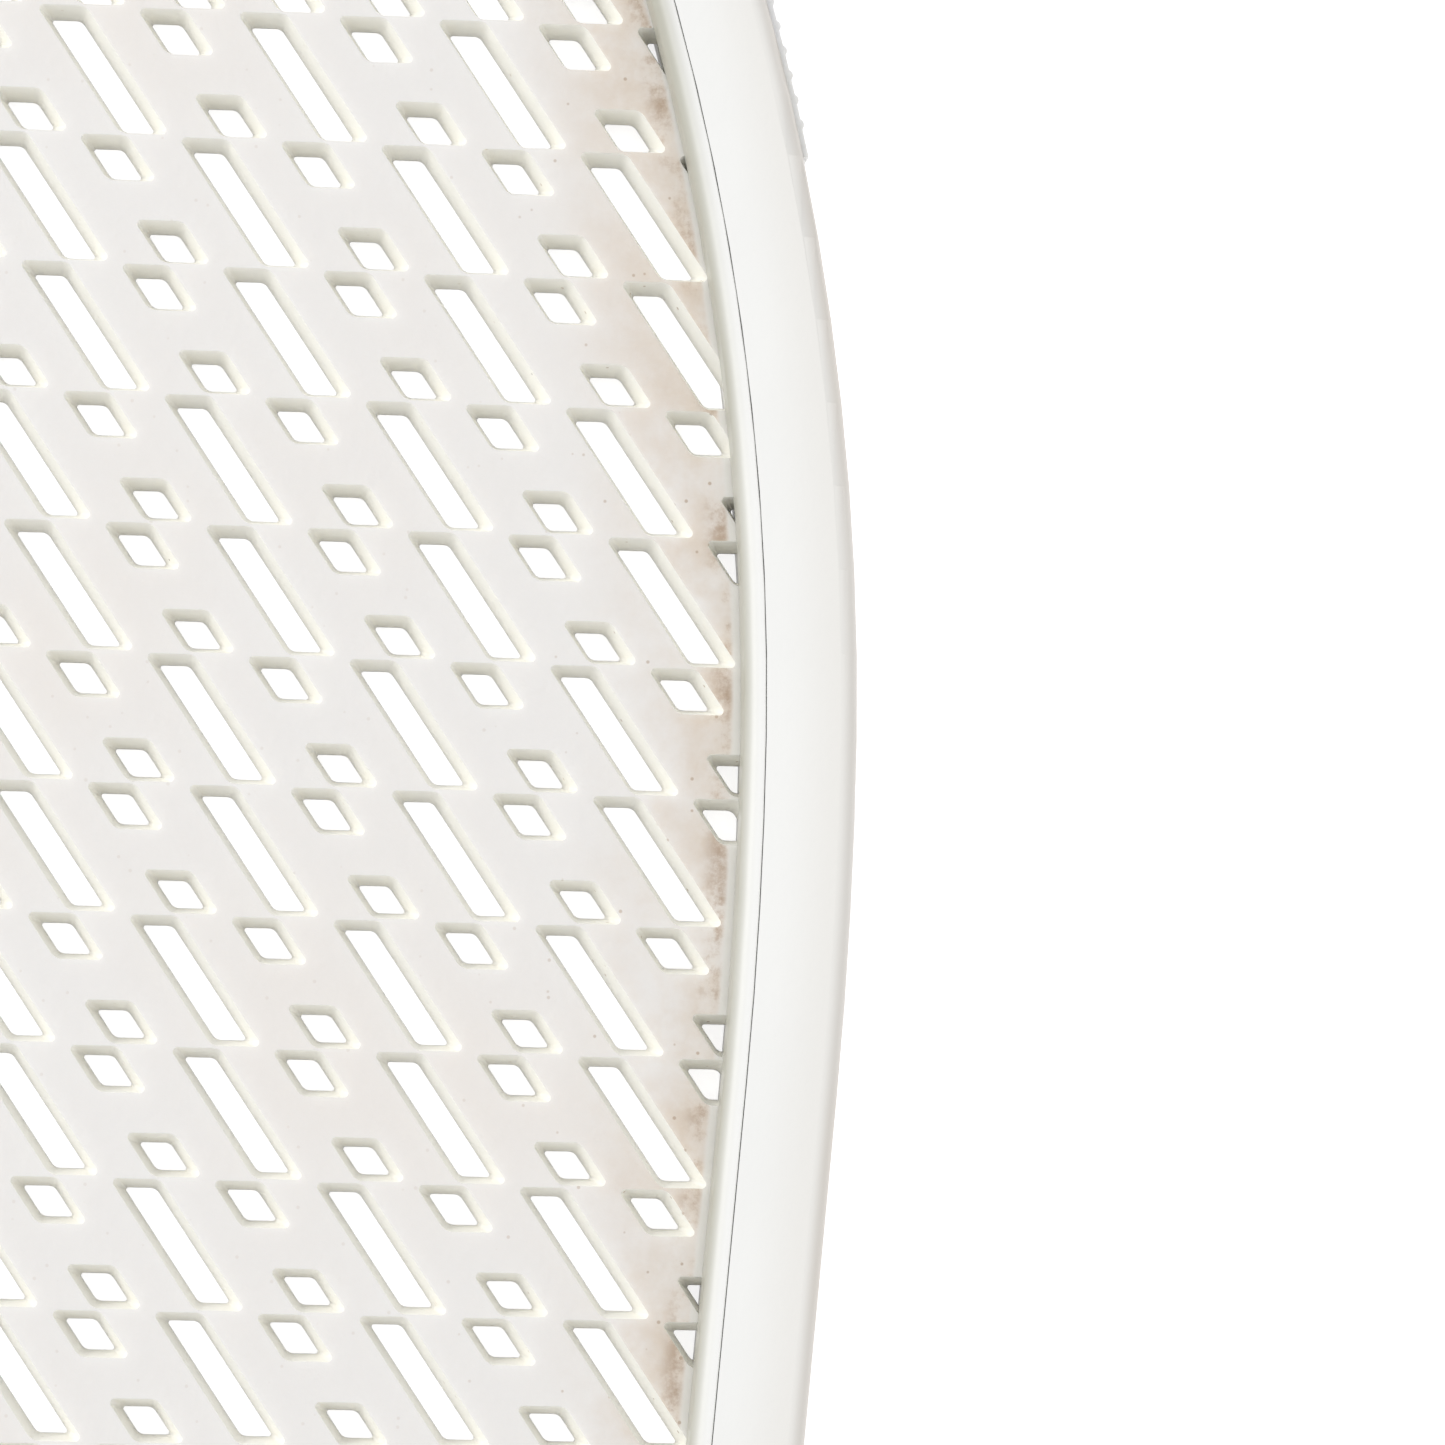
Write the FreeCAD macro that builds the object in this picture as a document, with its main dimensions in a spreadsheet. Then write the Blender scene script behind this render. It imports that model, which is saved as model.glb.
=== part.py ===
import FreeCAD, Part
import math
import os
from FreeCAD import Placement, Rotation, Vector

# Manual fly swatter: a perforated plate clamped in a moulded head frame, on a
# three-stage telescopic shaft with a two-shell grip. It lies face up on z = 0,
# +Y runs from the grip to the tip, and every size is in millimetres.

os.makedirs("parts", exist_ok=True)
doc = FreeCAD.newDocument("fly_swatter")
sheet = doc.addObject("Spreadsheet::Sheet", "sizes")

SIZES = [
    # outline of the head, measured from its widest line
    ("head_half_width", 60.0),
    ("tip_above", 82.0),
    ("heel_below", 87.0),
    ("upper_side_radius", 180.0),
    ("upper_side_turn", 18.0),
    ("tip_corner_radius", 36.0),
    ("lower_side_radius", 304.0),
    ("side_taper", 4.4),
    ("heel_corner_drop", 58.0),
    ("heel_corner_radius", 28.0),
    # section of the head, measured inwards from the outline and up from the back
    ("frame_thick", 7.0),
    ("band_width", 6.1),
    ("ledge_reach", 1.2),
    ("ledge_thick", 1.2),
    ("panel_thick", 2.6),
    ("panel_gap", 0.2),
    ("panel_lap", 0.9),
    ("bead_gap", 0.05),
    ("bead_width", 1.4),
    ("bead_drop", 0.1),
    ("bead_inner_round", 1.1),
    ("bead_outer_round", 0.12),
    ("snap_depth", 0.35),
    ("snap_low", 0.8),
    ("snap_height", 0.7),
    ("snap_gap", 0.1),
    ("edge_round_top", 1.2),
    ("edge_round_back", 0.8),
    # pattern of openings in the panel
    ("column_pitch", 6.656),
    ("row_pitch", 8.638),
    ("row_shift", 3.013),
    ("pattern_x", 34.38),
    ("pattern_y", 9.02),
    ("opening_width", 3.35),
    ("opening_height", 8.5),
    ("opening_lean", 0.685),
    ("opening_draft", 0.53),
    ("blunt_radius", 0.95),
    ("sharp_radius", 0.3),
    ("diamond_upper", 3.05),
    ("diamond_lower", 2.85),
    ("smallest_opening", 1.0),
    # rubber bumper round the tip
    ("bumper_start", 39.0),
    ("bumper_proud", 0.55),
    ("bumper_rib", 0.2),
    ("bumper_rib_pitch", 1.71),
    ("bumper_depth", 1.5),
    ("bumper_margin", 1.05),
    ("bumper_gap", 0.05),
    # neck of the head
    ("neck_length", 25.0),
    ("neck_radius", 6.5),
    ("socket_floor", 1.0),
    ("gusset_half_width", 26.0),
    ("ferrule_length", 8.0),
    ("ferrule_wall", 0.6),
    ("rivet_radius", 1.2),
    ("rivet_head_radius", 2.1),
    ("rivet_head_height", 0.9),
    ("rivet_sink", 0.5),
    ("rivet_back", 0.3),
    ("rivet_in", 2.5),
    ("head_clearance", 0.2),
    # telescopic shaft
    ("inner_radius", 3.6),
    ("tube_wall", 0.4),
    ("tube_play", 0.4),
    ("tube_overlap", 22.0),
    ("mouth_length", 5.0),
    ("running_gap", 0.05),
    ("seat_gap", 0.05),
    ("bush_stem", 6.0),
    ("bush_flange", 3.0),
    ("bush_bore", 2.0),
    ("inner_show", 104.0),
    ("middle_show", 128.0),
    ("outer_show", 30.0),
    # grip
    ("grip_length", 135.0),
    ("grip_half_width", 13.0),
    ("grip_wall", 2.0),
    ("grip_under", 0.8),
    ("grip_shoulder", 15.0),
    ("shoulder_round", 0.8),
    ("nose_round", 2.5),
    ("grip_waist", 1.1),
    ("waist_steps", 10),
    ("groove_depth", 0.6),
    ("groove_width", 1.6),
    ("groove_pitch", 9.0),
    ("groove_count", 9),
    ("collar_length", 12.0),
    ("collar_flare", 2.4),
    ("collar_wall", 1.4),
    ("screw_radius", 1.1),
    ("screw_head_radius", 2.0),
    ("screw_head_height", 1.2),
    ("screw_length", 8.5),
    ("screw_tip_room", 0.3),
    ("screw_off_tube", 1.5),
    ("screw_recess", 0.45),
    ("slot_width", 0.5),
    ("slot_depth", 0.6),
    ("cap_length", 20.0),
    ("cap_spigot", 9.0),
    ("cap_room", 6.0),
    ("cap_round", 4.0),
    ("hang_hole_radius", 3.0),
    ("hang_hole_in", 9.0),
]
for number, (name, value) in enumerate(SIZES, 1):
    sheet.set("A%d" % number, name)
    sheet.set("B%d" % number, str(value))
    sheet.setAlias("B%d" % number, name)
doc.recompute()


def size(name):
    return float(sheet.get(name))


# What follows the end of the cap, in order, along the shaft.
CHAIN = ["cap_length", "grip_length", "outer_show", "middle_show", "inner_show",
         "neck_length", "heel_below", "tip_above", "bumper_proud"]
STATIONS = {"cap_end": 0, "grip_low": 1, "grip_top": 2, "outer_mouth": 3, "middle_mouth": 4,
            "neck_mouth": 5, "heel": 6, "head_line": 7}


def along(station, shift="0"):
    """Formula for the Y of a station, with the whole length centred on the origin."""
    before = ["sizes." + name for name in CHAIN[:STATIONS[station]]] + [shift]
    whole = " + ".join("sizes." + name for name in CHAIN)
    return " + ".join(before) + " - (" + whole + ") / 2"


def at(station):
    """The same Y as a number, for the pieces whose shape is worked out in code."""
    return sum(size(name) for name in CHAIN[:STATIONS[station]]) - sum(size(name) for name in CHAIN) / 2


def outer_radius():
    return size("inner_radius") + 2 * (size("tube_wall") + size("tube_play"))


def shaft_axis():
    """Height of the shaft: half the height of the grip, which lies on the back plane."""
    return outer_radius() + size("grip_wall") + size("grip_under")


def part_feature(label, shape, y=0.0):
    """A finished piece whose shape is worked out in code, placed along the shaft."""
    piece = doc.addObject("Part::Feature", label)
    piece.Label = label
    piece.Shape = shape
    piece.Placement = Placement(Vector(0, y, 0), Rotation())
    return piece


# Outline of the head: a chain of tangent arcs and one straight taper on each side,
# mirrored about the shaft. Y = 0 is the widest line.

def arc(centre, radius, start, end):
    middle = (start + end) / 2
    points = [Vector(centre[0] + radius * math.cos(math.radians(a)),
                     centre[1] + radius * math.sin(math.radians(a)), 0)
              for a in (start, middle, end)]
    return Part.Arc(*points).toShape()


def on_circle(centre, radius, angle):
    return (centre[0] + radius * math.cos(math.radians(angle)),
            centre[1] + radius * math.sin(math.radians(angle)))


def crown(centre, radius, reach):
    """Radius of the crown centred on the shaft that meets a corner arc, and its half angle."""
    rise = reach - abs(centre[1])
    big = (centre[0] ** 2 + rise ** 2 - radius ** 2) / (2 * (rise - radius))
    return big, math.degrees(math.asin(centre[0] / (big - radius)))


def head_outline():
    half = size("head_half_width")
    upper, turn = size("upper_side_radius"), size("upper_side_turn")
    lower, taper = size("lower_side_radius"), size("side_taper")
    tip_r, heel_r = size("tip_corner_radius"), size("heel_corner_radius")
    upper_centre, lower_centre = (half - upper, 0), (half - lower, 0)

    tip_centre = on_circle(upper_centre, upper - tip_r, turn)
    tip_crown, tip_half = crown(tip_centre, tip_r, size("tip_above"))
    taper_top = on_circle(lower_centre, lower, -taper)
    drop = -size("heel_corner_drop")
    taper_end = (taper_top[0] - (taper_top[1] - drop) * math.tan(math.radians(taper)), drop)
    heel_centre = on_circle(taper_end, -heel_r, -taper)
    heel_crown, heel_half = crown(heel_centre, heel_r, size("heel_below"))

    right = [
        arc((0, heel_crown - size("heel_below")), heel_crown, -90, heel_half - 90),
        arc(heel_centre, heel_r, heel_half - 90, -taper),
        Part.LineSegment(Vector(*taper_end, 0), Vector(*taper_top, 0)).toShape(),
        arc(lower_centre, lower, -taper, 0),
        arc(upper_centre, upper, 0, turn),
        arc(tip_centre, tip_r, turn, 90 - tip_half),
        arc((0, size("tip_above") - tip_crown), tip_crown, 90 - tip_half, 90),
    ]
    left = [edge.mirror(Vector(0, 0, 0), Vector(1, 0, 0)) for edge in right]
    return Part.Wire(Part.__sortEdges__(right + left))


OUTLINE = head_outline()


def inset(distance):
    return OUTLINE.makeOffset2D(-distance) if distance else OUTLINE


def slab(distance, low, high):
    """Solid inside the outline, a distance in from it, between two heights."""
    face = Part.Face(inset(distance))
    face.translate(Vector(0, 0, low))
    return face.extrude(Vector(0, 0, high - low))


def hoop(outside, inside, low, high):
    """Solid between two distances in from the outline, between two heights."""
    return slab(outside, low, high).cut(slab(inside, low - 1, high + 1))


def flat_edges(solid, height):
    """Edges of a solid that lie all along one height."""
    return [edge for edge in solid.Edges
            if abs(edge.BoundBox.ZMin - height) < 1e-4 and abs(edge.BoundBox.ZMax - height) < 1e-4]


def rod_y(radius, low, high, height):
    return Part.makeCylinder(radius, high - low, Vector(0, low, height), Vector(0, 1, 0))


def rod_z(radius, low, high, x, y):
    return Part.makeCylinder(radius, high - low, Vector(x, y, low), Vector(0, 0, 1))


# Bumper round the tip, and the rebate for it in the edge of the frame.

def tip_side(shape):
    """Keep the part of a shape that lies towards the tip from the bumper's ends."""
    half, above = size("head_half_width") + 5, size("tip_above") + 5
    start = size("bumper_start")
    return shape.common(Part.makeBox(2 * half, above - start, 40, Vector(-half, start, -10)))


def bumper_shape():
    low, high = size("bumper_margin"), size("frame_thick") - size("bumper_margin")
    proud, rib = size("bumper_proud"), size("bumper_rib")
    strip = tip_side(hoop(rib - proud, size("bumper_depth"), low, high))
    rib_round = 2 * rib
    line = inset(rib_round - proud)
    spots = line.discretize(Number=int(line.Length / size("bumper_rib_pitch")) + 1)
    end = size("bumper_start") + size("bumper_rib_pitch")
    ribs = [rod_z(rib_round, low + rib, high - rib, spot.x, spot.y) for spot in spots[1:] if spot.y > end]
    return strip.fuse(ribs)


def bumper_rebate():
    gap = size("bumper_gap")
    low = size("bumper_margin") - gap
    high = size("frame_thick") - low
    return tip_side(hoop(-5, size("bumper_depth") + gap, low, high))


# Head frame: flat band, back ledge that carries the panel, gusset and round neck.

def gusset():
    heel, neck = -size("heel_below"), -size("heel_below") - size("neck_length")
    wide, narrow = size("gusset_half_width"), size("neck_radius") - 1
    top, end = heel + size("band_width") / 2, neck + size("ferrule_length") + 1
    bend = (narrow + (wide - narrow) * 0.28, heel + (end - heel) * 0.42)
    right = Part.Arc(Vector(wide, top, 0), Vector(bend[0], bend[1], 0), Vector(narrow, end, 0)).toShape()
    left = right.mirror(Vector(0, 0, 0), Vector(1, 0, 0))
    ends = [Part.LineSegment(Vector(-wide, top, 0), Vector(wide, top, 0)).toShape(),
            Part.LineSegment(Vector(-narrow, end, 0), Vector(narrow, end, 0)).toShape()]
    face = Part.Face(Part.Wire(Part.__sortEdges__([right, left] + ends)))
    solid = face.extrude(Vector(0, 0, size("frame_thick")))
    curved = [edge for height in (0, size("frame_thick")) for edge in flat_edges(solid, height)
              if abs(edge.CenterOfMass.x) > narrow]
    return solid.makeFillet(size("edge_round_back"), curved)


def rivet_hole(radius, head_radius):
    y = rivet_y()
    top, back = 2 * shaft_axis(), size("rivet_back") + size("rivet_head_height")
    hole = rod_z(radius, -1, top, 0, y)
    return hole.fuse([rod_z(head_radius, rivet_up(), top, 0, y),
                      rod_z(head_radius, -1, back, 0, y)])


def rivet_up():
    """Seat of the rivet's domed head: a flat sunk a little into the round neck."""
    return shaft_axis() + size("neck_radius") - size("rivet_sink")


def rivet_y():
    neck = -size("heel_below") - size("neck_length")
    return neck + size("ferrule_length") + size("rivet_head_radius") + size("rivet_in")


def head_frame_shape():
    thick, band, axis = size("frame_thick"), size("band_width"), shaft_axis()
    panel_top = size("ledge_thick") + size("panel_thick")
    blank = slab(0, 0, thick)
    blank = blank.makeFillet(size("edge_round_top"), flat_edges(blank, thick))
    blank = blank.makeFillet(size("edge_round_back"), flat_edges(blank, 0))

    neck_end = -size("heel_below") - size("neck_length")
    dome = -size("heel_below") + band - size("neck_radius") - 0.1
    neck = rod_y(size("neck_radius"), neck_end, dome, axis)
    neck = neck.fuse(Part.makeSphere(size("neck_radius"), Vector(0, dome, axis)))
    solid = blank.fuse([gusset(), neck])

    groove_low = panel_top + size("snap_low") - size("snap_gap")
    groove_high = groove_low + size("snap_height") + 2 * size("snap_gap")
    solid = solid.cut([
        slab(band, size("ledge_thick"), thick + 20),
        slab(band + size("ledge_reach"), -1, thick),
        hoop(band - size("snap_depth") - size("snap_gap"), band + 0.5, groove_low, groove_high),
        bumper_rebate(),
        rod_y(size("inner_radius") + size("seat_gap"), neck_end - 1,
              -size("heel_below") - size("socket_floor"), axis),
        rivet_hole(size("rivet_radius") + size("seat_gap"),
                   size("rivet_head_radius") + size("head_clearance")),
    ])
    return solid.removeSplitter()


# Panel: a moulded plate with slanted slots. Every second opening of a row is split
# by a bridge into an upper and a lower diamond, and the order swaps every two rows.

def slanted(x, y, width, top, bottom, blunt, sharp):
    """Slanted outline between two heights below a top left corner, with rounded corners."""
    lean = size("opening_lean")
    corners = [(x + lean * top, y - top), (x + lean * top + width, y - top),
               (x + lean * bottom + width, y - bottom), (x + lean * bottom, y - bottom)]
    slope = math.atan2(1, lean)
    edges, joins = [], []
    for index, radius in enumerate((sharp, blunt, sharp, blunt)):
        here = Vector(*corners[index], 0)
        back = (Vector(*corners[index - 1], 0) - here).normalize()
        ahead = (Vector(*corners[(index + 1) % 4], 0) - here).normalize()
        half_angle = back.getAngle(ahead) / 2
        reach = radius / math.tan(half_angle)
        middle = here + (back + ahead).normalize() * (radius / math.sin(half_angle) - radius)
        joins.append((here + back * reach, middle, here + ahead * reach))
    for index, (start, middle, end) in enumerate(joins):
        edges.append(Part.Arc(start, middle, end).toShape())
        edges.append(Part.LineSegment(end, joins[(index + 1) % 4][0]).toShape())
    return Part.Wire(edges)


def opening(x, y, top, bottom):
    """Tapered tool for one opening: full size at the front of the panel, smaller at the back."""
    draft, lean = size("opening_draft"), size("opening_lean")
    back_z, front_z = size("ledge_thick"), size("ledge_thick") + size("panel_thick")
    width = size("opening_width")
    side = draft * math.hypot(1, lean)
    front = slanted(x, y, width, top, bottom, size("blunt_radius"), size("sharp_radius"))
    back = slanted(x + side, y, width - 2 * side, top + draft, bottom - draft,
                   size("blunt_radius") - draft / 2, size("sharp_radius") / 2)
    front.translate(Vector(0, 0, front_z))
    back.translate(Vector(0, 0, back_z))
    return Part.makeLoft([back, front], True, True)


def openings():
    columns = int(2 * size("head_half_width") / size("column_pitch")) + 2
    rows = int((size("tip_above") + size("heel_below")) / size("row_pitch")) + 2
    tall, lean, wide = size("opening_height"), size("opening_lean"), size("opening_width")
    tools = []
    for row in range(-rows, rows):
        for column in range(-2 * columns, 2 * columns):
            centre_x = size("pattern_x") + column * size("column_pitch") + row * size("row_shift")
            centre_y = size("pattern_y") - row * size("row_pitch")
            x, y = centre_x - (wide + lean * tall) / 2, centre_y + tall / 2
            if abs(centre_x) > size("head_half_width") or centre_y > size("tip_above") + tall:
                continue
            if centre_y < -size("heel_below") - tall:
                continue
            if (column + (row + 1) // 2) % 2 == 0:
                tools.append(opening(x, y, 0, tall))
            else:
                tools.append(opening(x, y, 0, size("diamond_upper")))
                tools.append(opening(x, y, tall - size("diamond_lower"), tall))
    return tools


def panel_shape():
    """Plate with the openings. Those that reach the hidden border are kept whole or left out
    at the tip and the heel, and are cut off by the border along the sides."""
    low, high = size("ledge_thick"), size("ledge_thick") + size("panel_thick")
    plate = slab(size("band_width") + size("panel_gap"), low, high)
    lap = size("band_width") + size("panel_lap")
    border = slab(lap, low - 1, high + 1)
    inside_border = Part.Face(inset(lap))
    side_top = size("upper_side_radius") * math.sin(math.radians(size("upper_side_turn")))
    tools = []
    for tool in openings():
        corners = [Vector(vertex.X, vertex.Y, 0) for vertex in tool.Vertexes]
        inside = [inside_border.isInside(corner, 0.001, True) for corner in corners]
        if all(inside):
            tools.append(tool)
        elif any(inside) and -size("heel_corner_drop") < tool.CenterOfMass.y < side_top:
            trimmed = tool.common(border)
            tools += [solid for solid in trimmed.Solids if solid.Volume > size("smallest_opening")]
    return plate.cut(tools)


# Retainer ring: the rounded bead over the rim of the panel, with a snap lip that
# clicks into the groove of the frame.

def retainer_shape():
    low = size("ledge_thick") + size("panel_thick")
    high = size("frame_thick") - size("bead_drop")
    outside = size("band_width") + size("bead_gap")
    ring = hoop(outside, outside + size("bead_width"), low, high)
    for radius, longer in ((size("bead_inner_round"), False), (size("bead_outer_round"), True)):
        loops = sorted(Part.sortEdges(flat_edges(ring, high)), key=loop_length)
        ring = ring.makeFillet(radius, loops[-1] if longer else loops[0])
    lip_low = low + size("snap_low")
    lip = hoop(size("band_width") - size("snap_depth"), outside + size("snap_depth"),
               lip_low, lip_low + size("snap_height"))
    return ring.fuse(lip).removeSplitter()


def loop_length(loop):
    return sum(edge.Length for edge in loop)


HEAD_Y = at("head_line")
part_feature("head_frame", head_frame_shape(), HEAD_Y)
part_feature("swat_panel", panel_shape(), HEAD_Y)
part_feature("retainer_ring", retainer_shape(), HEAD_Y)
part_feature("tip_bumper", bumper_shape(), HEAD_Y)


# Turned pieces of the shaft, as document primitives bound to the sheet.

TUBE_STEP = " + sizes.tube_wall + sizes.tube_play)"
MIDDLE_RADIUS = "(sizes.inner_radius" + TUBE_STEP
OUTER_RADIUS = "(" + MIDDLE_RADIUS + TUBE_STEP
AXIS = "(" + OUTER_RADIUS + " + sizes.grip_wall + sizes.grip_under)"
MIDDLE_LENGTH = "(sizes.middle_show + sizes.tube_overlap)"
OUTER_LENGTH = "(sizes.outer_show + sizes.grip_length - sizes.cap_spigot - sizes.cap_room)"


def primitive(kind, name, base, turned=True, **formulas):
    """Primitive whose sizes and place are formulas. A turned one points along +Y."""
    item = doc.addObject("Part::" + kind, name)
    item.Placement = Placement(Vector(), Rotation(Vector(1, 0, 0), -90 if turned else 0))
    for prop, formula in formulas.items():
        item.setExpression(prop, formula)
    for letter, formula in zip("xyz", base):
        item.setExpression("Placement.Base." + letter, formula)
    return item


def cylinder(name, radius, length, y, x="0", z=AXIS, turned=True):
    return primitive("Cylinder", name, (x, y, z), turned, Radius=radius, Height=length)


def cone(name, low_radius, high_radius, length, y):
    return primitive("Cone", name, ("0", y, AXIS), True,
                     Radius1=low_radius, Radius2=high_radius, Height=length)


def joined(name, items):
    if len(items) == 1:
        return items[0]
    whole = doc.addObject("Part::MultiFuse", name)
    whole.Shapes = items
    whole.Refine = True
    return whole


def piece(label, solids, holes=()):
    """Named piece: the solids together, less the holes."""
    body = joined(label + "_solid", list(solids))
    if holes:
        cut = doc.addObject("Part::Cut", label)
        cut.Base = body
        cut.Tool = joined(label + "_holes", list(holes))
        cut.Refine = True
        body = cut
    body.Label = label
    return body


def tube(label, mouth, length, radius, mouth_radius):
    """Drawn tube. Its mouth end is rolled in to guide the next tube."""
    low = along(mouth, "-" + length)
    bore = "(" + radius + " - sizes.tube_wall)"
    solids = [cylinder(label + "_wall", radius, length + " - sizes.tube_wall", low),
              cone(label + "_roll", radius, radius + " - sizes.tube_wall", "sizes.tube_wall",
                   along(mouth, "-sizes.tube_wall"))]
    holes = [cylinder(label + "_bore", bore, length + " - sizes.mouth_length + 1",
                      low + " - 1")]
    if mouth_radius:
        holes.append(cylinder(label + "_mouth", mouth_radius, "sizes.mouth_length + 2",
                              along(mouth, "-sizes.mouth_length - 1")))
    return solids, holes


def bush(label, tube_low, radius, bore_radius):
    """Friction bush: a stem pressed into one tube and a flange that runs in the next."""
    low = tube_low + " - sizes.bush_flange"
    stem = "(" + radius + " - sizes.tube_wall - sizes.seat_gap)"
    flange = "(" + bore_radius + " - sizes.tube_wall - sizes.running_gap)"
    whole = "sizes.bush_stem + sizes.bush_flange"
    piece(label,
          [cylinder(label + "_stem", stem, whole, low),
           cylinder(label + "_flange", flange, "sizes.bush_flange", low)],
          [cylinder(label + "_hole", "sizes.bush_bore", whole + " + 2", low + " - 1")])


# The thin tube ends inside the neck, so its own mouth is the far end of the socket.
INNER_LOW = along("middle_mouth", "-sizes.tube_overlap")
RIVET_Y = along("neck_mouth", "sizes.ferrule_length + sizes.rivet_head_radius + sizes.rivet_in")
IN_SOCKET = "sizes.neck_length - sizes.socket_floor - sizes.seat_gap"
INNER_LENGTH = "(sizes.inner_show + sizes.tube_overlap + " + IN_SOCKET + ")"
piece("inner_tube",
      [cylinder("inner_tube_wall", "sizes.inner_radius", INNER_LENGTH, INNER_LOW)],
      [cylinder("inner_tube_bore", "sizes.inner_radius - sizes.tube_wall", INNER_LENGTH + " + 2",
                INNER_LOW + " - 1"),
       cylinder("inner_tube_cross", "sizes.rivet_radius + sizes.seat_gap", "2 * " + AXIS, RIVET_Y,
                z="0", turned=False)])

solids, holes = tube("middle_tube", "middle_mouth", MIDDLE_LENGTH, MIDDLE_RADIUS,
                     "sizes.inner_radius + sizes.running_gap")
piece("middle_tube", solids, holes)
solids, holes = tube("outer_tube", "outer_mouth", OUTER_LENGTH, OUTER_RADIUS,
                     MIDDLE_RADIUS + " + sizes.running_gap")
piece("outer_tube", solids, holes)

MIDDLE_LOW = along("middle_mouth", "-" + MIDDLE_LENGTH)
bush("inner_bush", INNER_LOW, "sizes.inner_radius", MIDDLE_RADIUS)
bush("middle_bush", MIDDLE_LOW, MIDDLE_RADIUS, OUTER_RADIUS)

FERRULE_BORE = "(sizes.neck_radius + sizes.seat_gap)"
piece("neck_ferrule",
      [cylinder("neck_ferrule_band", FERRULE_BORE + " + sizes.ferrule_wall",
                "sizes.ferrule_length", along("neck_mouth"))],
      [cylinder("neck_ferrule_bore", FERRULE_BORE, "sizes.ferrule_length + 2",
                along("neck_mouth", "-1"))])


def neck_rivet_shape():
    """Cross rivet through the neck and the thin tube: flat head behind, domed head in front."""
    radius, head, height = size("rivet_radius"), size("rivet_head_radius"), size("rivet_head_height")
    back, front = size("rivet_back"), rivet_up()
    shank = rod_z(radius, back, front + height / 2, 0, 0)
    flat = rod_z(head, back, back + height, 0, 0)
    dome = rod_z(head, front, front + height, 0, 0)
    dome = dome.makeFillet(height * 0.7, flat_edges(dome, front + height))
    return shank.fuse([flat, dome]).removeSplitter()


part_feature("neck_rivet", neck_rivet_shape(), HEAD_Y + rivet_y())


# Grip: two moulded shells clamped on the outer tube by four screws, with a soft sleeve
# in the recess between their shoulders, a collar at the nose and a cap at the end.

def oval(half_width, half_height, y):
    """Oval section across the shaft, in the XZ plane at one Y."""
    ellipse = Part.Ellipse(Vector(), half_width, half_height).toShape()
    wire = Part.Wire([ellipse])
    wire.Placement = Placement(Vector(0, y, shaft_axis()), Rotation(Vector(1, 0, 0), 90))
    return wire


def oval_bar(shrink, low, high):
    half, height = size("grip_half_width") - shrink, shaft_axis() - shrink
    return Part.Face(oval(half, height, low)).extrude(Vector(0, high - low, 0))


def waisted_bar(shrink, low, high):
    """Oval bar a little narrower at two fifths of its length than at its ends."""
    half, height, waist = size("grip_half_width") - shrink, shaft_axis() - shrink, size("grip_waist")
    length, steps = high - low, int(size("waist_steps"))
    sections = []
    for step in range(steps + 1):
        share = step / steps
        pinch = waist * math.sin(math.pi * share ** 0.8) ** 2
        sections.append(oval(half - pinch, height - pinch / 2, low + length * share))
    return Part.makeLoft(sections, True, False)


def screw_spots():
    side = outer_radius() + size("screw_head_radius") + size("screw_off_tube")
    shoulder = size("grip_shoulder")
    low, high = shoulder / 2, size("grip_length") - shoulder / 2
    return [(x, y) for y in (low, high) for x in (-side, side)]


def screw_foot(x):
    """Height of the screw heads' seat: a little inside the rounded back of the grip."""
    axis, half = shaft_axis(), size("grip_half_width")
    edge = abs(x) + size("screw_head_radius")
    return axis - axis * math.sqrt(1 - (edge / half) ** 2) + size("screw_recess")


def grip_core():
    """Both shells in one: shoulders at full size, and the recess under the sleeve."""
    length, shoulder = size("grip_length"), size("grip_shoulder")
    core = waisted_bar(size("grip_wall"), shoulder - 1, length - shoulder + 1)
    low = oval_bar(0, 0, shoulder)
    round_on = [edge for edge in low.Edges if edge.BoundBox.YMin > shoulder - 0.01]
    low = low.makeFillet(size("shoulder_round"), round_on)
    high = oval_bar(0, length - shoulder, length)
    round_off = [edge for edge in high.Edges if edge.BoundBox.YMax < length - shoulder + 0.01]
    high = high.makeFillet(size("shoulder_round"), round_off)
    nose = [edge for edge in high.Edges
            if edge.BoundBox.YMin > length - 0.01 and edge.Length > 20]
    high = high.makeFillet(size("nose_round"), nose)
    return core.fuse([low, high])


def grip_shell(front):
    length, axis = size("grip_length"), shaft_axis()
    half = size("grip_half_width") + 1
    side = Part.makeBox(2 * half, length + 2, 2 * axis,
                        Vector(-half, -1, axis if front else -axis))
    shell = grip_core().common(side)
    cuts = [rod_y(outer_radius() + size("seat_gap"), -1, length + 1, axis)]
    for x, y in screw_spots():
        foot = screw_foot(x)
        cuts.append(rod_z(size("screw_radius") + size("seat_gap"), foot - 1,
                          foot + size("screw_length") + size("screw_tip_room"), x, y))
        cuts.append(rod_z(size("screw_head_radius") + size("head_clearance"), -1,
                          foot + size("screw_head_height"), x, y))
    return shell.cut(cuts)


def screws_shape():
    radius, wide, deep = size("screw_head_radius"), size("slot_width"), size("slot_depth")
    reach = radius * 0.6
    solids = []
    for x, y in screw_spots():
        foot = screw_foot(x)
        head = rod_z(radius, foot, foot + size("screw_head_height"), x, y)
        head = head.makeFillet(radius / 4, flat_edges(head, foot))
        shank = rod_z(size("screw_radius"), foot + deep, foot + size("screw_length"), x, y)
        cross = [Part.makeBox(2 * reach, wide, deep, Vector(x - reach, y - wide / 2, foot)),
                 Part.makeBox(wide, 2 * reach, deep, Vector(x - wide / 2, y - reach, foot))]
        solids.append(head.fuse(shank).cut(cross).removeSplitter())
    return Part.makeCompound(solids)


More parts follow.
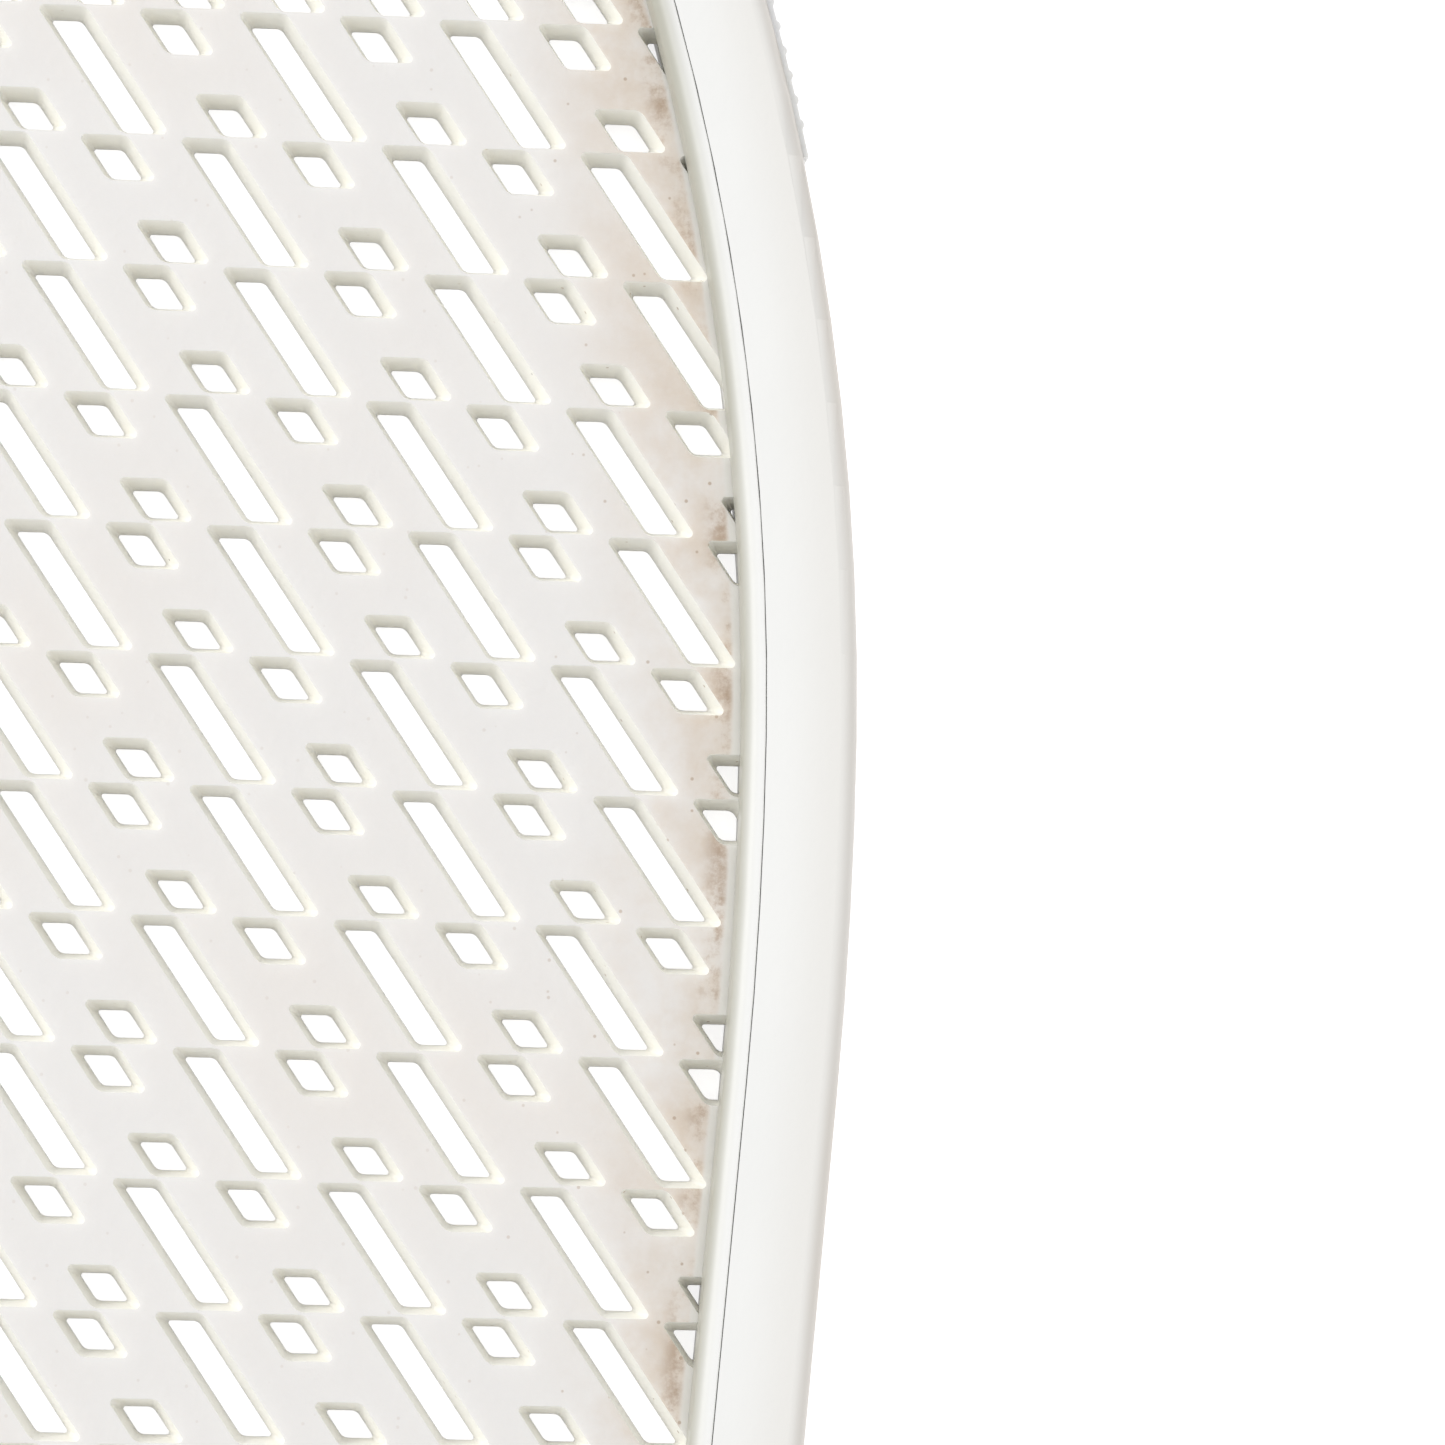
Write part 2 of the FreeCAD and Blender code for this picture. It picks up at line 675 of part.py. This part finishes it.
def sleeve_shape():
    low, high = size("grip_shoulder"), size("grip_length") - size("grip_shoulder")
    gap = size("seat_gap")
    body = waisted_bar(0, low + gap, high - gap)
    inside = waisted_bar(size("grip_wall") - gap, low - 1, high + 1)
    sleeve = body.cut(inside)
    depth, wide = size("groove_depth"), size("groove_width")
    middle, count = (low + high) / 2, int(size("groove_count"))
    grooves = []
    for index in range(count):
        y = middle + (index - (count - 1) / 2) * size("groove_pitch")
        outside = oval_bar(-2, y - wide / 2, y + wide / 2)
        grooves.append(outside.cut(waisted_bar(depth, low, high)))
    return sleeve.cut(grooves)


def collar_shape():
    """Cone that closes the gap between the outer tube and the nose of the grip."""
    wall, length, axis = size("collar_wall"), size("collar_length"), shaft_axis()
    wide, tube_r = outer_radius() + size("collar_flare"), outer_radius() + size("seat_gap")
    cone_solid = Part.makeCone(wide, tube_r + wall, length, Vector(0, 0, axis), Vector(0, 1, 0))
    rims = [edge for edge in cone_solid.Edges if edge.BoundBox.YMin > length - 0.01]
    cone_solid = cone_solid.makeFillet(wall * 0.6, rims)
    return cone_solid.cut(rod_y(tube_r, -1, length + 1, axis))


def cap_shape():
    """End cap: a rounded end with the hanging hole, and a spigot into the end of the grip."""
    length, axis = size("cap_length"), shaft_axis()
    cap = oval_bar(0, 0, length)
    cap = cap.makeFillet(size("cap_round"), [edge for edge in cap.Edges if edge.BoundBox.YMax < 0.01])
    spigot = rod_y(outer_radius(), length - 1, length + size("cap_spigot"), axis)
    hole = rod_z(size("hang_hole_radius"), -1, 2 * axis + 1, 0, size("hang_hole_in"))
    return cap.fuse(spigot).cut(hole).removeSplitter()


GRIP_Y = at("grip_low")
part_feature("grip_front", grip_shell(True), GRIP_Y)
part_feature("grip_back", grip_shell(False), GRIP_Y)
part_feature("grip_sleeve", sleeve_shape(), GRIP_Y)
part_feature("grip_screws", screws_shape(), GRIP_Y)
part_feature("nose_collar", collar_shape(), at("grip_top"))
part_feature("end_cap", cap_shape(), at("cap_end"))


# Check every piece and write it out under its own name.

NODES = ["head_frame", "swat_panel", "retainer_ring", "tip_bumper", "neck_ferrule", "neck_rivet",
         "inner_tube", "inner_bush", "middle_tube", "middle_bush", "outer_tube", "nose_collar",
         "grip_front", "grip_back", "grip_sleeve", "grip_screws", "end_cap"]

doc.recompute()
for item in doc.Objects:
    if "Invalid" in item.State or "Error" in item.State:
        raise RuntimeError("broken feature: " + item.Name)
for label in NODES:
    shape = doc.getObjectsByLabel(label)[0].Shape
    if shape.isNull() or not shape.isValid() or not shape.Solids:
        raise RuntimeError("bad shape: " + label)
    shape.exportStep("parts/" + label + ".step")
    print(label, len(shape.Solids), len(shape.Faces), round(shape.Volume, 1))
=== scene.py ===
import math

import bpy
from mathutils import Matrix, Vector


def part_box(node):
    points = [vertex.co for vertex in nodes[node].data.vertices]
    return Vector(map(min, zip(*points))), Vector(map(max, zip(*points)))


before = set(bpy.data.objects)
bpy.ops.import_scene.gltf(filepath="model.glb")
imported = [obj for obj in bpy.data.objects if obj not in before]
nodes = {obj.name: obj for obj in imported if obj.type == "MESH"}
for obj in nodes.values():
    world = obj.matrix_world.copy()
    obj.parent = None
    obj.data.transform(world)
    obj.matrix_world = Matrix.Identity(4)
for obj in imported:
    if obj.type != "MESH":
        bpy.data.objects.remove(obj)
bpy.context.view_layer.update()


# Head frame. The real piece is one moulding of white plastic: a flat band round the head,
# a ledge behind it and the neck. It is satin, carries a few grains of dust, and is pinkish
# where hands and tables rub its outer edge. The band is painted darker towards that edge as shade.

def add(tree, kind, inputs=None, **settings):
    """One node of a material, with its settings and its linked or plain inputs."""
    node = tree.nodes.new("ShaderNode" + kind)
    for name, value in settings.items():
        setattr(node, name, value)
    for name, value in (inputs or {}).items():
        if isinstance(value, bpy.types.NodeSocket):
            tree.links.new(value, node.inputs[name])
        else:
            node.inputs[name].default_value = value
    return node


def calc(tree, operation, first, second=0.0, third=0.0):
    return add(tree, "Math", {0: first, 1: second, 2: third}, operation=operation).outputs[0]


def ramp(tree, value, low, high, start=0.0, end=1.0):
    """Smooth step of a value, from start at low to end at high."""
    return add(tree, "MapRange", {"Value": value, "From Min": low, "From Max": high,
                                  "To Min": start, "To Max": end},
               interpolation_type="SMOOTHSTEP").outputs[0]


def noise(tree, place, scale, detail=3.0, rough=0.5, stretch=None):
    if stretch:
        place = add(tree, "Mapping", {"Vector": place, "Scale": stretch}).outputs[0]
    return add(tree, "TexNoise", {"Vector": place, "Scale": scale, "Detail": detail,
                                  "Roughness": rough}).outputs[0]


def tint(tree, share, under, over):
    return add(tree, "Mix", {"Factor": share, 6: under, 7: over}, data_type="RGBA").outputs[2]


def rgb(red, green, blue):
    """Colour from its 0 to 255 screen values."""
    return [((c / 255 + 0.055) / 1.055) ** 2.4 for c in (red, green, blue)] + [1.0]


def specks(tree, place, scale, share, size):
    """Scattered round specks: a share of the cells of a Voronoi pattern holds one."""
    cell = add(tree, "TexVoronoi", {"Vector": place, "Scale": scale})
    lot = add(tree, "SeparateColor", {"Color": cell.outputs["Color"]}).outputs[0]
    near = ramp(tree, cell.outputs["Distance"], size * 0.5, size, 1.0, 0.0)
    return calc(tree, "MULTIPLY", calc(tree, "LESS_THAN", lot, share), near)


def dusted(tree, colour, spots, strength, dirt):
    """A colour with specks of dirt on it."""
    return tint(tree, calc(tree, "MULTIPLY", spots, strength), colour, dirt)


def new_material(name, roughness):
    material = bpy.data.materials.new(name)
    material.use_nodes = True
    tree = material.node_tree
    tree.nodes.clear()
    shader = add(tree, "BsdfPrincipled", {"Roughness": roughness})
    add(tree, "OutputMaterial", {"Surface": shader.outputs[0]})
    place = add(tree, "TexCoord").outputs["Object"]
    return material, tree, shader, place


def paint(node, material):
    """Give a CAD piece its finish."""
    piece = nodes[node]
    for index in range(len(piece.material_slots)):
        piece.material_slots[index].material = material


def grain(tree, shader, place, scale, strength, depth):
    """Fine bump of a moulded surface."""
    height = noise(tree, place, scale, 4.0, 0.6)
    bump = add(tree, "Bump", {"Height": height, "Strength": strength, "Distance": depth})
    tree.links.new(bump.outputs[0], shader.inputs["Normal"])


# The outline of the head about its widest line, which is found from the frame's own box:
# two arcs and a taper down each side, a crowned tip and a crowned heel.
HEAD_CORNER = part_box("head_frame")[1]
TIP_ABOVE = 0.082
HEEL_BELOW = 0.087
HEAD_LINE = HEAD_CORNER.y - TIP_ABOVE
HEAD_HALF = HEAD_CORNER.x
UPPER_RADIUS, LOWER_RADIUS = 0.180, 0.304
TIP_CROWN, HEEL_CROWN = 0.1325, 0.160
TAPER = math.radians(4.4)
CORNER_BLEND = 0.02


def from_edge(tree, place):
    """Distance in from the outline of the head, from the same arcs that shape it."""
    axes = add(tree, "SeparateXYZ", {"Vector": place})
    across = calc(tree, "ABSOLUTE", axes.outputs[0])
    along = calc(tree, "SUBTRACT", axes.outputs[1], HEAD_LINE)
    above = calc(tree, "MAXIMUM", along, 0.0)
    below = calc(tree, "MAXIMUM", calc(tree, "MULTIPLY", along, -1.0), 0.0)
    curved = calc(tree, "MINIMUM", below, LOWER_RADIUS * math.sin(TAPER))
    straight = calc(tree, "SUBTRACT", below, curved)
    drop = calc(tree, "MULTIPLY", calc(tree, "MULTIPLY", above, above), 0.5 / UPPER_RADIUS)
    drop = calc(tree, "ADD", drop,
                calc(tree, "MULTIPLY", calc(tree, "MULTIPLY", curved, curved), 0.5 / LOWER_RADIUS))
    drop = calc(tree, "MULTIPLY_ADD", straight, math.tan(TAPER), drop)
    side = calc(tree, "SUBTRACT", calc(tree, "SUBTRACT", HEAD_HALF, drop), across)
    square = calc(tree, "MULTIPLY", across, across)
    tip = calc(tree, "MULTIPLY_ADD", square, -0.5 / TIP_CROWN, TIP_ABOVE)
    tip = calc(tree, "SUBTRACT", tip, along)
    heel = calc(tree, "MULTIPLY_ADD", square, -0.5 / HEEL_CROWN, HEEL_BELOW)
    heel = calc(tree, "ADD", heel, along)
    ends = calc(tree, "MINIMUM", tip, heel)
    return calc(tree, "SMOOTH_MIN", side, ends, CORNER_BLEND)


WHITE = rgb(240, 240, 238)
COOL = rgb(242, 242, 240)
BAND_SHADE = rgb(233, 231, 227)
RUBBED = rgb(226, 219, 210)
DUST = rgb(120, 112, 100)
NECK_START, HEAD_START = -0.003, -0.001
SHADE_WIDTH = 0.0055
RUB_WIDTH = 0.0012

head_white, tree, shader, place = new_material("head_white_plastic", 0.42)
edge = from_edge(tree, place)
mottle = noise(tree, place, 60.0, 4.0)
colour = tint(tree, ramp(tree, mottle, 0.35, 0.65), WHITE, COOL)
on_head = ramp(tree, edge, NECK_START, HEAD_START)
# Painted shade: the band darkens towards its outer edge.
outer = calc(tree, "MULTIPLY", on_head, ramp(tree, edge, 0.0008, SHADE_WIDTH, 0.9, 0.0))
colour = tint(tree, outer, colour, BAND_SHADE)
rubbed = calc(tree, "MULTIPLY", on_head, ramp(tree, edge, 0.0002, RUB_WIDTH, 1.0, 0.0))
rubbed = calc(tree, "MULTIPLY", rubbed, ramp(tree, noise(tree, place, 35.0), 0.3, 0.7, 0.35, 1.0))
colour = tint(tree, rubbed, colour, RUBBED)
colour = dusted(tree, colour, specks(tree, place, 220.0, 0.035, 0.045), 0.6, DUST)
tree.links.new(colour, shader.inputs["Base Color"])
grain(tree, shader, place, 900.0, 0.12, 0.0002)
paint("head_frame", head_white)


# Retainer ring. A rounded bead of the same white plastic that snaps into the frame and
# holds the edge of the panel. Its steep inner foot is painted grey as shade.

FOOT_SHADE = rgb(180, 179, 167)
SHADE_START, SHADE_FULL = 0.0064, 0.0077

ring_white, tree, shader, place = new_material("ring_white_plastic", 0.36)
edge = from_edge(tree, place)
# Painted shade: grey on the bead's inner foot, where it meets the panel.
foot_shade = ramp(tree, edge, SHADE_START, SHADE_FULL)
foot_shade = calc(tree, "MULTIPLY", foot_shade, ramp(tree, noise(tree, place, 45.0), 0.25, 0.7, 0.8, 1.0))
colour = tint(tree, foot_shade, COOL, FOOT_SHADE)
colour = dusted(tree, colour, specks(tree, place, 260.0, 0.05, 0.05), 0.6, DUST)
tree.links.new(colour, shader.inputs["Base Color"])
grain(tree, shader, place, 900.0, 0.08, 0.0002)
paint("retainer_ring", ring_white)


# Swatting panel. A thin matt moulding with hundreds of slanted openings. Its drafted walls
# are painted lighter and warmer than its front, as painted light. Use has left pinkish
# brown stains that grow towards the bead, and grains of dirt. The stains stop short of a strip
# beside the bead, which is painted darker as shade.

PANEL = rgb(232, 230, 228)
PANEL_WARM = rgb(231, 226, 221)
WALL_LIGHT = rgb(254, 252, 243)
STAIN = rgb(214, 200, 184)
DARK_STAIN = rgb(176, 152, 130)
BEAD_FOOT_SHADE = rgb(222, 220, 213)
GRIT = rgb(104, 92, 80)
BEAD_FOOT = 0.00755
STAIN_REACH = 0.012
LINE_REACH = 0.0026

panel_plastic, tree, shader, place = new_material("panel_matt_plastic", 0.58)
edge = from_edge(tree, place)
inward = calc(tree, "SUBTRACT", edge, BEAD_FOOT)
blotch = noise(tree, place, 90.0, 5.0, 0.62)
fine = noise(tree, place, 520.0, 4.0, 0.65)
warm = ramp(tree, noise(tree, place, 28.0, 3.0), 0.45, 0.75, 0.0, 0.8)
colour = tint(tree, warm, PANEL, PANEL_WARM)
reach = calc(tree, "MULTIPLY", ramp(tree, inward, 0.0003, 0.0008),
             ramp(tree, inward, 0.001, STAIN_REACH, 1.0, 0.0))
stain = calc(tree, "MULTIPLY", reach, ramp(tree, blotch, 0.28, 0.6))
stain = calc(tree, "MULTIPLY", stain, ramp(tree, fine, 0.2, 0.7, 0.55, 1.0))
colour = tint(tree, calc(tree, "MULTIPLY", stain, 0.9), colour, STAIN)
# Painted shade: a darker strip along the bead's foot.
strip = ramp(tree, inward, 0.0003, 0.0007, 0.75, 0.0)
colour = tint(tree, strip, colour, BEAD_FOOT_SHADE)
line = calc(tree, "MULTIPLY", ramp(tree, inward, 0.0004, 0.0009),
            ramp(tree, inward, 0.001, LINE_REACH, 1.0, 0.0))
line = calc(tree, "MULTIPLY", line, ramp(tree, noise(tree, place, 180.0, 7.0, 0.75), 0.47, 0.64))
colour = tint(tree, calc(tree, "MULTIPLY", line, 0.85), colour, DARK_STAIN)
# Painted light: upright faces, the walls of the openings, get a lighter, warmer colour.
normal = add(tree, "NewGeometry").outputs["True Normal"]
upright = add(tree, "SeparateXYZ", {"Vector": normal}).outputs[2]
wall_light = ramp(tree, calc(tree, "ABSOLUTE", upright), 0.5, 0.9, 1.0, 0.0)
colour = tint(tree, wall_light, colour, WALL_LIGHT)
colour = dusted(tree, colour, specks(tree, place, 420.0, 0.02, 0.055), 0.85, GRIT)
thicker = ramp(tree, inward, 0.0, 0.02, 0.7, 0.15)
colour = dusted(tree, colour, specks(tree, place, 1300.0, 0.13, 0.2), thicker, DARK_STAIN)
tree.links.new(colour, shader.inputs["Base Color"])
shader.inputs["Subsurface Weight"].default_value = 0.5
shader.inputs["Subsurface Scale"].default_value = 0.0015
shader.inputs["Subsurface Radius"].default_value = (1.0, 0.98, 0.95)
grain(tree, shader, place, 1400.0, 0.2, 0.0003)
paint("swat_panel", panel_plastic)


# Tip bumper. A soft milky strip pressed into the edge of the frame round the tip, with
# fine upright ribs. It has yellowed a little.

MILKY = rgb(252, 252, 250)
YELLOWED = rgb(248, 245, 232)

bumper_soft, tree, shader, place = new_material("bumper_milky_rubber", 0.5)
patch = ramp(tree, noise(tree, place, 90.0, 3.0), 0.35, 0.7)
tree.links.new(tint(tree, patch, MILKY, YELLOWED), shader.inputs["Base Color"])
shader.inputs["Subsurface Weight"].default_value = 1.0
shader.inputs["Subsurface Scale"].default_value = 0.006
shader.inputs["Subsurface Radius"].default_value = (1.0, 1.0, 0.95)
grain(tree, shader, place, 1100.0, 0.2, 0.0003)
paint("tip_bumper", bumper_soft)


# Telescopic shaft. Three drawn stainless tubes, brushed along their length, with rolled
# mouths. The bushes between them are natural plastic and stay out of sight.

STEEL = rgb(196, 197, 199)
STEEL_DARK = rgb(160, 161, 164)
BUSH = rgb(228, 226, 216)
BUSH_AMBER = rgb(214, 210, 196)

tube_steel, tree, shader, place = new_material("drawn_steel", 0.28)
shader.inputs["Metallic"].default_value = 1.0
lines = noise(tree, place, 900.0, 5.0, 0.7, stretch=(1.0, 0.02, 1.0))
clouds = noise(tree, place, 25.0, 3.0)
colour = tint(tree, calc(tree, "MULTIPLY", ramp(tree, lines, 0.35, 0.7), 0.6), STEEL, STEEL_DARK)
tree.links.new(colour, shader.inputs["Base Color"])
tree.links.new(ramp(tree, clouds, 0.3, 0.7, 0.22, 0.38), shader.inputs["Roughness"])
bump = add(tree, "Bump", {"Height": lines, "Strength": 0.15, "Distance": 0.0001})
tree.links.new(bump.outputs[0], shader.inputs["Normal"])
for name in ("inner_tube", "middle_tube", "outer_tube"):
    paint(name, tube_steel)

bush_plastic, tree, shader, place = new_material("bush_natural_plastic", 0.5)
colour = tint(tree, noise(tree, place, 300.0), BUSH, BUSH_AMBER)
tree.links.new(colour, shader.inputs["Base Color"])
grain(tree, shader, place, 900.0, 0.15, 0.0002)
for name in ("inner_bush", "middle_bush"):
    paint(name, bush_plastic)


# Ferrule, rivet and screws. The ferrule is a turned steel band on the mouth of the neck,
# the rivet is aluminium, and the screws are zinc plated.

FERRULE = rgb(205, 205, 206)
FERRULE_DARK = rgb(172, 173, 176)
ZINC = rgb(196, 196, 194)
ZINC_DARK = rgb(150, 150, 152)
ALUMINIUM = rgb(220, 221, 222)
ALUMINIUM_GREY = rgb(196, 197, 199)

turned, tree, shader, place = new_material("turned_steel", 0.3)
shader.inputs["Metallic"].default_value = 1.0
rings = noise(tree, place, 1500.0, 3.0, 0.6, stretch=(0.05, 1.0, 0.05))
colour = tint(tree, ramp(tree, rings, 0.35, 0.65), FERRULE, FERRULE_DARK)
tree.links.new(colour, shader.inputs["Base Color"])
paint("neck_ferrule", turned)

plated, tree, shader, place = new_material("zinc_plate", 0.38)
shader.inputs["Metallic"].default_value = 1.0
colour = tint(tree, noise(tree, place, 700.0, 4.0), ZINC, ZINC_DARK)
tree.links.new(colour, shader.inputs["Base Color"])
paint("grip_screws", plated)

rivet_metal, tree, shader, place = new_material("rivet_aluminium", 0.42)
shader.inputs["Metallic"].default_value = 1.0
colour = tint(tree, noise(tree, place, 500.0, 4.0), ALUMINIUM, ALUMINIUM_GREY)
tree.links.new(colour, shader.inputs["Base Color"])
paint("neck_rivet", rivet_metal)


# Grip. Two white shells clamped on the outer tube, with a collar at the nose and a cap
# with the hanging hole at the end, all moulded in the plastic of the head.

# The grip's white is painted greyer than the head's as shade: the same plastic, lit less.
GRIP_SHADED = rgb(233, 232, 229)
GRIP_GREY = rgb(226, 225, 221)

grip_white, tree, shader, place = new_material("grip_white_plastic", 0.42)
mottle = noise(tree, place, 50.0, 4.0)
colour = tint(tree, ramp(tree, mottle, 0.35, 0.65), GRIP_SHADED, GRIP_GREY)
scuffs = ramp(tree, noise(tree, place, 160.0, 6.0, 0.7, stretch=(1.0, 0.2, 1.0)), 0.58, 0.72, 0.0, 0.5)
colour = tint(tree, scuffs, colour, RUBBED)
colour = dusted(tree, colour, specks(tree, place, 200.0, 0.03, 0.05), 0.6, DUST)
tree.links.new(colour, shader.inputs["Base Color"])
grain(tree, shader, place, 900.0, 0.12, 0.0002)
for name in ("grip_front", "grip_back", "nose_collar", "end_cap"):
    paint(name, grip_white)


# Grip sleeve. A soft grey sleeve stretched into the recess of the shells, with turned
# grooves for the fingers and a fine matt skin that has gone shiny where it is held.

SLEEVE = rgb(168, 170, 170)
SLEEVE_WORN = rgb(146, 147, 147)

sleeve_rubber, tree, shader, place = new_material("sleeve_soft_rubber", 0.75)
wear = noise(tree, place, 55.0, 5.0, 0.6)
tree.links.new(tint(tree, ramp(tree, wear, 0.35, 0.7), SLEEVE, SLEEVE_WORN), shader.inputs["Base Color"])
tree.links.new(ramp(tree, wear, 0.3, 0.7, 0.82, 0.6), shader.inputs["Roughness"])
grain(tree, shader, place, 1600.0, 0.5, 0.0004)
paint("grip_sleeve", sleeve_rubber)


# Table. A plain white sheet larger than the view. It is white to the camera and in
# reflections, and an ordinary white surface to the light on the object.

TABLE = 3.0
UNDER = 0.0003
SHEET = rgb(250, 250, 250)
GLOW = 0.75
bpy.ops.mesh.primitive_plane_add(size=TABLE, location=(0, 0, -UNDER))
table = bpy.context.object
table.name = "table"

sheet_white = bpy.data.materials.new("table_white")
sheet_white.use_nodes = True
tree = sheet_white.node_tree
tree.nodes.clear()
matt = add(tree, "BsdfDiffuse", {"Color": SHEET})
glow = add(tree, "Emission", {"Color": (1, 1, 1, 1), "Strength": GLOW})
both = add(tree, "AddShader", {0: matt.outputs[0], 1: glow.outputs[0]})
path = add(tree, "LightPath")
seen = calc(tree, "MAXIMUM", path.outputs["Is Camera Ray"], path.outputs["Is Glossy Ray"])
seen = calc(tree, "MAXIMUM", seen, path.outputs["Is Transmission Ray"])
shown = add(tree, "MixShader", {0: seen, 1: matt.outputs[0], 2: both.outputs[0]})
add(tree, "OutputMaterial", {"Surface": shown.outputs[0]})
table.data.materials.append(sheet_white)


# Light. An even white surround, and a large soft lamp to the left of the head, which
# leaves the left walls of the openings in shade and reaches the right ones.

SURROUND = 0.77
LAMP_SIZE = 0.8
LAMP_POWER = 8.5
LAMP_AWAY = Vector((-0.95, 0.35, 0.85))

world = bpy.data.worlds.new("studio")
bpy.context.scene.world = world
world.use_nodes = True
tree = world.node_tree
tree.nodes.clear()
path = add(tree, "LightPath")
seen = calc(tree, "MAXIMUM", path.outputs["Is Camera Ray"], path.outputs["Is Glossy Ray"])
dim = add(tree, "Background", {"Color": (1, 1, 1, 1), "Strength": SURROUND})
white = add(tree, "Background", {"Color": (1, 1, 1, 1), "Strength": 1.0})
mixed = add(tree, "MixShader", {0: seen, 1: dim.outputs[0], 2: white.outputs[0]})
add(tree, "OutputWorld", {"Surface": mixed.outputs[0]})

head_centre = Vector((0, HEAD_LINE, 0))
lamp_data = bpy.data.lights.new("soft_lamp", "AREA")
lamp_data.shape = "DISK"
lamp_data.size = LAMP_SIZE
lamp_data.energy = LAMP_POWER
lamp = bpy.data.objects.new("soft_lamp", lamp_data)
bpy.context.collection.objects.link(lamp)
lamp.location = head_centre + LAMP_AWAY
lamp.rotation_euler = (-LAMP_AWAY).to_track_quat("-Z", "Y").to_euler()


# Camera. A long lens almost straight above the lower middle of the head, aimed at its
# right side, with the head turned a degree in the view.

CAMERA_PLACE = Vector((0.01454, HEAD_LINE - 0.03908, 0.400))
AIM = Vector((0.05127, HEAD_LINE + 0.00116, 0.0034))
TURN = math.radians(1.11)
SENSOR, LENS = 36.0, 150.0

camera_data = bpy.data.cameras.new("camera")
camera_data.sensor_width = SENSOR
camera_data.lens = LENS
camera_data.clip_start = 0.01
camera = bpy.data.objects.new("camera", camera_data)
bpy.context.collection.objects.link(camera)
forward = (AIM - CAMERA_PLACE).normalized()
side = forward.cross(Vector((-math.sin(TURN), math.cos(TURN), 0))).normalized()
up = side.cross(forward)
facing = Matrix((side, up, -forward)).transposed().to_4x4()
camera.matrix_world = Matrix.Translation(CAMERA_PLACE) @ facing
bpy.context.scene.camera = camera
bpy.context.scene.view_settings.view_transform = "Standard"
